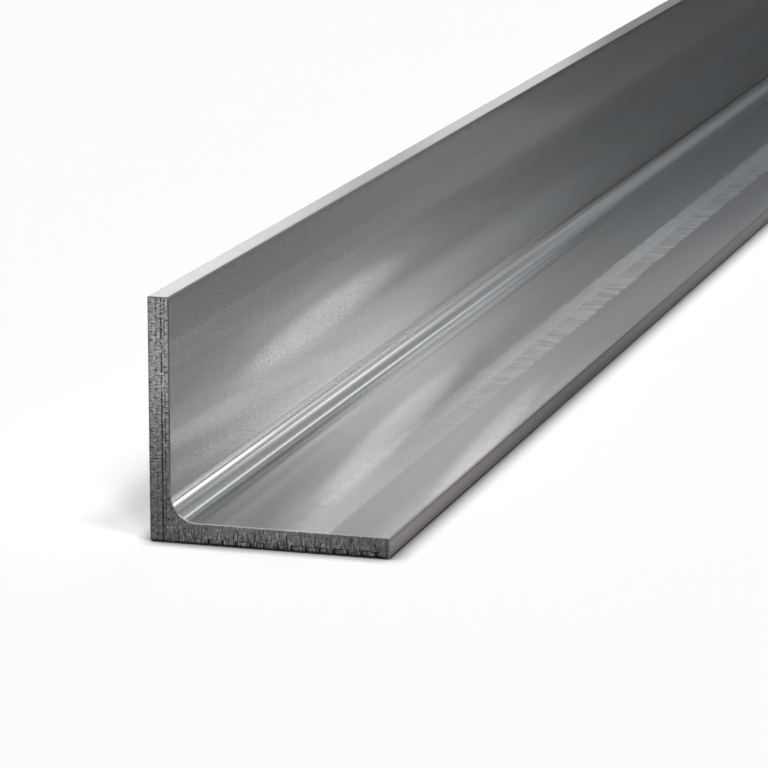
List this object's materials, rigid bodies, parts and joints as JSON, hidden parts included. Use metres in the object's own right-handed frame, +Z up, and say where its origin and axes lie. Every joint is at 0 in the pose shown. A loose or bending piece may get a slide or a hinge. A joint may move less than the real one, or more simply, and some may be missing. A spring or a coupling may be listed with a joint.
{
  "type": "steel angle section",
  "caption": "Hot-rolled equal-leg steel angle, square cut to length, with a rounded inside corner, for frames, brackets and lintels.",
  "frame": {"origin": "on the floor, at the bottom centre of the bounding box: half way along the bar and half way across the flat leg", "axes": "+X from the heel to the toe of the flat leg, +Y along the bar, +Z up along the upright leg, which stands at -X"},
  "size_m": [0.09, 2, 0.09],
  "materials": {
    "rolled_steel": "satin grey, as rolled and pickled, with raw saw-cut ends"
  },
  "bodies": {
    "root": {"angle_section": "rolled_steel"}
  },
  "joints": []
}
